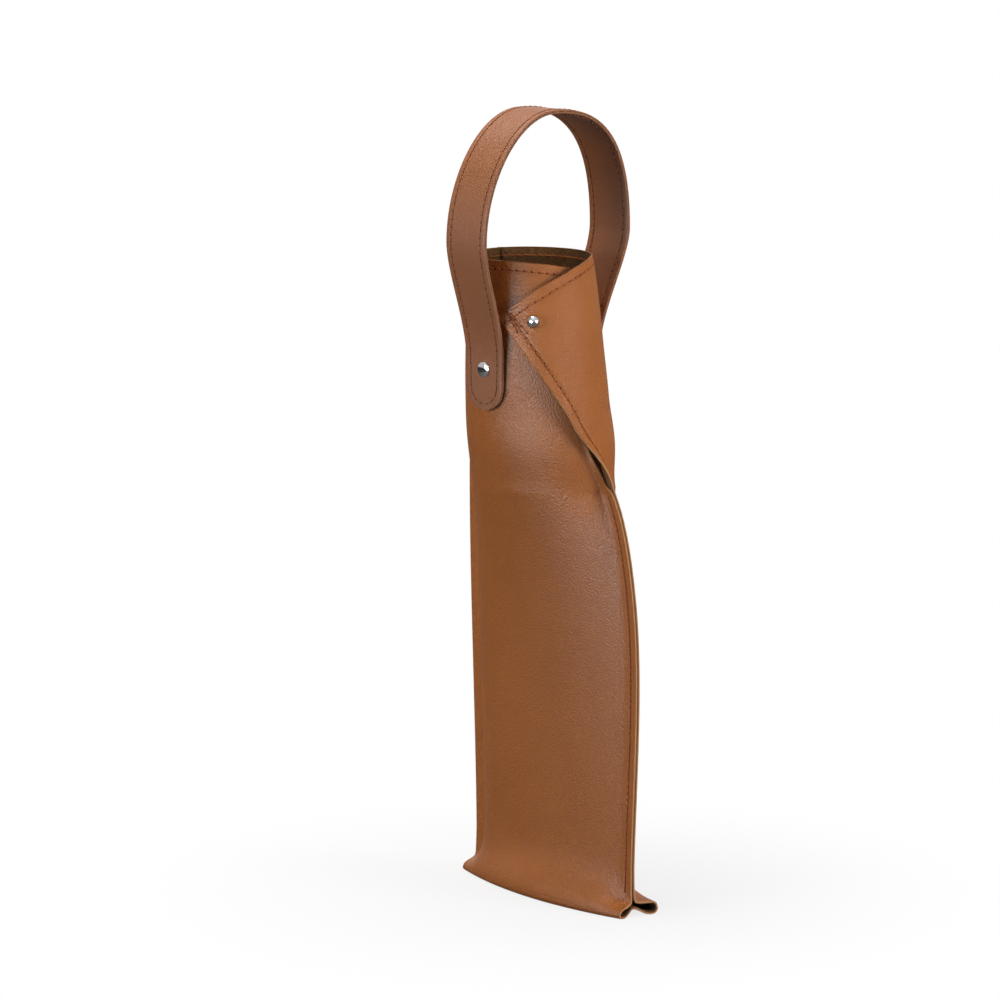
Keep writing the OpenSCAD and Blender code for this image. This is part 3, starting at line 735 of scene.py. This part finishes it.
# The strap.
def strap_frame():
    """Middle of the two rivets, half their distance, and the strap's own axes."""
    f = place(FRONT, RIVET_H, np.array([RIVET_FRONT * PANEL_W]))[0]
    b = place(BACK, RIVET_H, np.array([RIVET_BACK * PANEL_W]))[0]
    along_y = np.array([b[0] - f[0], b[1] - f[1], 0.0])
    half = np.linalg.norm(along_y) / 2
    along_y /= 2 * half
    along_x = np.array([along_y[1], -along_y[0], 0.0])
    mid = (f + b) / 2
    mid[2] = 0
    return mid, half, along_x, along_y


STRAP_MID, SEAT_HALF, STRAP_X, STRAP_Y = strap_frame()


def strap_in(side):
    return SEAT_HALF + SHEET + (FRONT_GAP if side == FRONT else BACK_GAP)


def bezier(p, t):
    p = np.array(p, float)
    t = t[:, None]
    return (1 - t) ** 3 * p[0] + 3 * (1 - t) ** 2 * t * p[1] + 3 * (1 - t) * t * t * p[2] + t ** 3 * p[3]


def strap_line():
    """Side view of the middle of the strap, from the front tail over the arch to the back tail."""
    leg_f, leg_b = -(strap_in(FRONT) + STRAP_T), strap_in(BACK) + STRAP_T
    front, rear, wide, top = -STRAP_FRONT, STRAP_REAR, STRAP_WIDE, STRAP_TOP - STRAP_T
    leg_h = RIVET_H + CAP_D / 2 + CAP_CLEAR
    rise, arch, lean = wide - leg_h, top - wide, (STRAP_REAR - STRAP_FRONT) * 0.2
    pieces = [
        [[leg_f, leg_h], [leg_f, leg_h + rise * .32], [front, wide - rise * .26], [front, wide]],
        [[front, wide], [front, wide + arch * .50], [lean - (lean - front) * .54, top], [lean, top]],
        [[lean, top], [lean + (rear - lean) * .65, top], [rear, wide + arch * .70], [rear, wide]],
        [[rear, wide], [rear, wide - rise * .26], [leg_b, leg_h + rise * .32], [leg_b, leg_h]]]
    t = np.linspace(0, 1, 60, endpoint=False)
    low = RIVET_H - STRAP_TAIL
    line = np.concatenate([[[leg_f, low]]] + [bezier(p, t) for p in pieces]
                          + [[[leg_b, leg_h], [leg_b, low]]])
    far = np.concatenate([[0], np.cumsum(np.linalg.norm(np.diff(line, axis=0), axis=1))])
    return line, far


STRAP_LINE, STRAP_FAR = strap_line()
STRAP_LEN = STRAP_FAR[-1]


def strap_at(u, off):
    """Point and outward normal in the strap's side view at length u, off its middle line."""
    u = np.atleast_1d(np.asarray(u, float))
    p, a, b = (np.stack([np.interp(at, STRAP_FAR, STRAP_LINE[:, k]) for k in (0, 1)], -1)
               for at in (u, np.clip(u - 1.5, 0, STRAP_LEN), np.clip(u + 1.5, 0, STRAP_LEN)))
    t = unit(b - a)
    n = np.stack([-t[:, 1], t[:, 0]], -1)
    return p + off * n, n


def strap_world(w, yz):
    """A point across the strap (w) and in its side view, in millimetres."""
    return STRAP_MID + w * STRAP_X + yz[0, 0] * STRAP_Y + yz[0, 1] * np.array([0, 0, 1])


def half_width(u):
    """Half the strap's width at length u: a round end, a tapered leg, and the even arch."""
    d = np.minimum(u, STRAP_LEN - u)
    r = STRAP_END / 2
    leg = mix(r, STRAP_W / 2, np.clip((d - r) / (STRAP_WIDE - RIVET_H + STRAP_TAIL - r), 0, 1))
    return np.where(d < r, np.sqrt(np.maximum(0, r * r - (r - d) ** 2)), leg)


def strap_layer(name, low, high, material):
    """One of the strap's two layers, with softly rounded long edges."""
    r, soft, cells = STRAP_END / 2, STRAP_ROUND, 14
    end = r * (1 - np.cos(np.linspace(0, math.pi / 2, 26)))
    u = np.concatenate([end, np.linspace(r, STRAP_LEN - r, 330)[1:-1], (STRAP_LEN - end)[::-1]])
    u[0], u[-1] = 0.02, STRAP_LEN - 0.02
    across = np.linspace(-1, 1, cells + 1)
    edge = [(high - soft * .3, .3), (high - soft, 0), (low + soft, 0), (low + soft * .3, .3)]
    loop = [(k, high, 1) for k in across] + [(1, off, inset) for off, inset in edge]
    loop += [(k, low, 1) for k in across[::-1]] + [(-1, off, inset) for off, inset in edge[::-1]]
    points, uv = [], []
    for at in u:
        half = float(half_width(at))
        for k, off, inset in loop:
            w = k * max(half - soft * inset, 0.01)
            points.append(strap_world(w, strap_at(at, off)[0]))
            uv.append((0.5 + at / 1000, w / 1000))
    m, rows = len(loop), len(u)
    faces = ring_faces(rows, m) + [tuple(range(m))[::-1], tuple(range((rows - 1) * m, rows * m))]
    picks = ([0] * cells + [1] * (len(edge) + 1)) * 2 * (rows - 1) + [1, 1]
    return mesh_object(name, metres(points), faces, [material, RAW_STRAP], picks, uv)


def strap_stitches():
    """Stitches along both edges of the strap and round its ends, on both faces."""
    r = STRAP_END / 2
    turn = r - STRAP_STITCH_IN
    marks = [(u, float(half_width(u)) - STRAP_STITCH_IN)
             for u in np.arange(r, STRAP_LEN - r + 0.1, STITCH)]
    angles = np.linspace(0, math.pi, round(math.pi * turn / STITCH) + 1)
    line = marks + [(STRAP_LEN - r + turn * math.sin(a), turn * math.cos(a)) for a in angles]
    line += [(u, -w) for u, w in marks[::-1]]
    line += [(r - turn * math.sin(a), -turn * math.cos(a)) for a in angles]
    threads, holes = [], []
    for side in (1, -1):
        faces = []
        for u, w in line:
            yz, n = strap_at(u, side * (STRAP_T - 0.03))
            normal = side * (STRAP_Y * n[0, 0] + np.array([0, 0, 1]) * n[0, 1])
            faces.append((strap_world(w, yz), normal))
        pairs = zip(faces, faces[1:] + faces[:1])
        threads += [stitch_path(a, b, STRAP_RISE) for a, b in pairs
                    if 1.2 < np.linalg.norm(a[0] - b[0]) < 5]
        # Places for the dark discs of painted shade in the needle holes.
        holes += [(p + 0.06 * n, n) for p, n in faces]
    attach(tubes("strap_stitches", threads, STRAP_THREAD_R, STRAP_THREAD), "strap")
    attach(spots("strap_needle_hole_shades", holes, STRAP_HOLE_R, HOLE_SHADE), "strap")


def strap():
    outer = strap_layer("strap_outer_leather", 0.02, STRAP_T, STRAP)
    inner = strap_layer("strap_inner_leather", -STRAP_T, -0.02, STRAP)
    for obj, node in ((outer, "strap_outer"), (inner, "strap_inner")):
        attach(obj, "strap")
        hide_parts(node)
    strap_stitches()


# Metal.
def turned_along(origin, z):
    """Matrix that sets a turned piece on origin, with its axis along z."""
    z = unit(np.asarray(z, float))
    x = unit(np.cross([0.0, 0.0, 1.0], z))
    m = np.eye(4)
    m[:3, 0], m[:3, 1], m[:3, 2], m[:3, 3] = x, np.cross(z, x), z, origin
    return m


def cap_profile():
    """Domed cap with a rolled rim, closed at the crown."""
    r, dome = CAP_D / 2, CAP_T - CAP_RIM
    crown = [(r * math.cos(a), CAP_RIM + dome * math.sin(a)) for a in np.linspace(0, math.pi / 2, 20)]
    rim = [(POST_R, 0.0), (r - 0.25, 0.0), (r - 0.07, 0.07), (r, 0.2)]
    return rim + crown[:-1] + [(0.001, CAP_T)]


def ball_profile():
    """Flat foot, neck and ball."""
    r, neck, foot = BALL_D / 2, NECK_D / 2, FOOT_D / 2
    ball = [(r * math.sin(a), BALL_H - r * math.cos(a))
            for a in np.linspace(math.asin(neck / r), math.pi, 34)]
    below = [(SCREW_D / 2, 0.0), (foot - .1, 0.0), (foot, .1), (foot, .4), (foot - .1, .5),
             (neck + .5, .55), (neck + .12, .8), (neck, 1.2)]
    return below + ball[:-1] + [(0.001, BALL_H + r)]


def rivet(name, side):
    """A cap outside the strap, and the post that runs from it into the sleeve."""
    out, seat = side * STRAP_Y, strap_in(side) + 2 * STRAP_T
    origin = STRAP_MID + out * seat + np.array([0, 0, RIVET_H])
    profile = [(POST_R, SEAT_HALF - POST_IN - seat)] + cap_profile()
    return lathe(name, profile, turned_along(origin, out), NICKEL)


def metal():
    front, back = rivet("front_rivet", FRONT), rivet("back_rivet", BACK)
    p, n = spot_on(FRONT, STUD_H, STUD_S, SHEET + 0.05)
    stud = lathe("ball_stud_turned", ball_profile(), turned_along(p, n), NICKEL)
    for obj in (front, back, stud):
        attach(obj, "sleeve")
    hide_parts("rivet_caps")
    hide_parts("ball_stud")
    for name in ("rivet_backs", "stud_screw"):
        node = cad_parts[name]
        node.data.materials.clear()
        node.data.materials.append(NICKEL)


# The stage: white to the camera, and a dim, even light on the carrier.
def backdrop():
    world = bpy.data.worlds.new("studio")
    bpy.context.scene.world = world
    world.use_nodes = True
    studio = Nodes(world.node_tree)
    seen = studio.ray("Is Camera Ray") + studio.ray("Is Glossy Ray")
    seen = (seen + studio.ray("Is Transmission Ray")).clamp()
    glow = studio.tree.nodes["Background"]
    studio.put(glow.inputs["Color"], (1, 1, 1, 1))
    studio.put(glow.inputs["Strength"], 0.09 + 0.91 * seen)


def floor():
    """Pale floor that keeps the shadow and turns evenly white away from the carrier."""
    p = Paint("floor", {"Roughness": 0.95, "Specular IOR Level": 0.0})
    camera_ray = p.ray("Is Camera Ray")
    p.set("Base Color", p.blend(camera_ray, (0.25, 0.25, 0.25, 1), (0.72, 0.72, 0.72, 1)))
    far = p.node("ShaderNodeMapRange", {"interpolation_type": "SMOOTHSTEP"},
                 {"Value": p.vector("LENGTH", [p.solid()], "Value"), "From Min": 0.05, "From Max": 0.26,
                  "To Min": 0.80, "To Max": 1.0})
    both = p.node("ShaderNodeMixShader", None, {0: far * camera_ray, 1: Value(p, p.surface.outputs[0]),
                                                2: p.node("ShaderNodeEmission")})
    p.put(p.tree.nodes["Material Output"].inputs["Surface"], both)
    size = 30.0
    obj = mesh_object("floor", [(-size, -size, 0), (size, -size, 0), (size, size, 0), (-size, size, 0)],
                      [(0, 1, 2, 3)], [p.material], smooth=False)


# The camera's direction, distance, height, tilt and lens, then the pixels that give its turn.
AZ, CAMERA_FAR, CAMERA_H, PITCH, LENS = math.radians(53.7), 3200, 759.5, 9.626, 216.74
HALF_WIDTH_PX, AIM_PX, FOCAL_PX = 500, 555.02, 6020.6
TO_CAMERA = Vector((math.sin(AZ), -math.cos(AZ), 0))
TO_RIGHT = Vector((math.cos(AZ), math.sin(AZ), 0))
UP = Vector((0, 0, 1))


def softbox(name, at, width, height, power, diffuse=True):
    """A plain area light, placed to the right, near and up from the camera's point of view.

    It is aimed at the carrier's middle, and without diffuse it shows in reflections alone."""
    data = bpy.data.lights.new(name, "AREA")
    data.shape, data.size, data.size_y, data.energy = "RECTANGLE", width, height, power
    light = bpy.data.objects.new(name, data)
    light.location = TO_RIGHT * at[0] + TO_CAMERA * at[1] + UP * at[2]
    light.rotation_euler = (UP * 0.22 - light.location).to_track_quat("-Z", "Y").to_euler()
    light.visible_diffuse = diffuse
    bpy.context.scene.collection.objects.link(light)


def overhead():
    """Wide, even light from above, which keeps the floor white all the way to the horizon."""
    data = bpy.data.lights.new("overhead", "SUN")
    data.energy, data.angle = 0.4, math.radians(60)
    light = bpy.data.objects.new("overhead", data)
    light.rotation_euler = Vector((0.25, -0.1, 1)).to_track_quat("Z", "Y").to_euler()
    bpy.context.scene.collection.objects.link(light)


def lights():
    overhead()
    softbox("right_box", (1.20, 0.64, 0.38), 0.5, 0.7, 16.0)
    softbox("left_box", (-0.78, 0.60, 0.45), 0.45, 0.5, 5.8)
    softbox("left_gloss", (-1.02, 1.45, 0.36), 0.5, 1.1, 150, diffuse=False)
    softbox("right_gloss", (1.40, 1.05, 0.70), 0.6, 0.9, 25, diffuse=False)
    softbox("top_box", (-0.15, -0.10, 0.95), 0.4, 0.4, 4.6)


def camera():
    data = bpy.data.cameras.new("camera")
    data.sensor_width, data.lens = 36.0, LENS
    cam = bpy.data.objects.new("camera", data)
    bpy.context.scene.collection.objects.link(cam)
    bpy.context.scene.camera = cam
    pitch, yaw = math.radians(PITCH), math.atan2(HALF_WIDTH_PX - AIM_PX, FOCAL_PX)
    forward = -TO_CAMERA
    right = math.cos(yaw) * TO_RIGHT - math.sin(yaw) * forward
    level = math.cos(yaw) * forward + math.sin(yaw) * TO_RIGHT
    look = math.cos(pitch) * level - math.sin(pitch) * UP
    turn = Matrix((right, right.cross(look), -look)).transposed().to_4x4()
    at = Vector(metres(np.array(TO_CAMERA) * CAMERA_FAR + np.array([0, 0, CAMERA_H])))
    cam.matrix_world = Matrix.Translation(at) @ turn


panels()
sewing()
strap()
metal()
backdrop()
floor()
lights()
camera()
bpy.context.scene.view_settings.view_transform = "Standard"
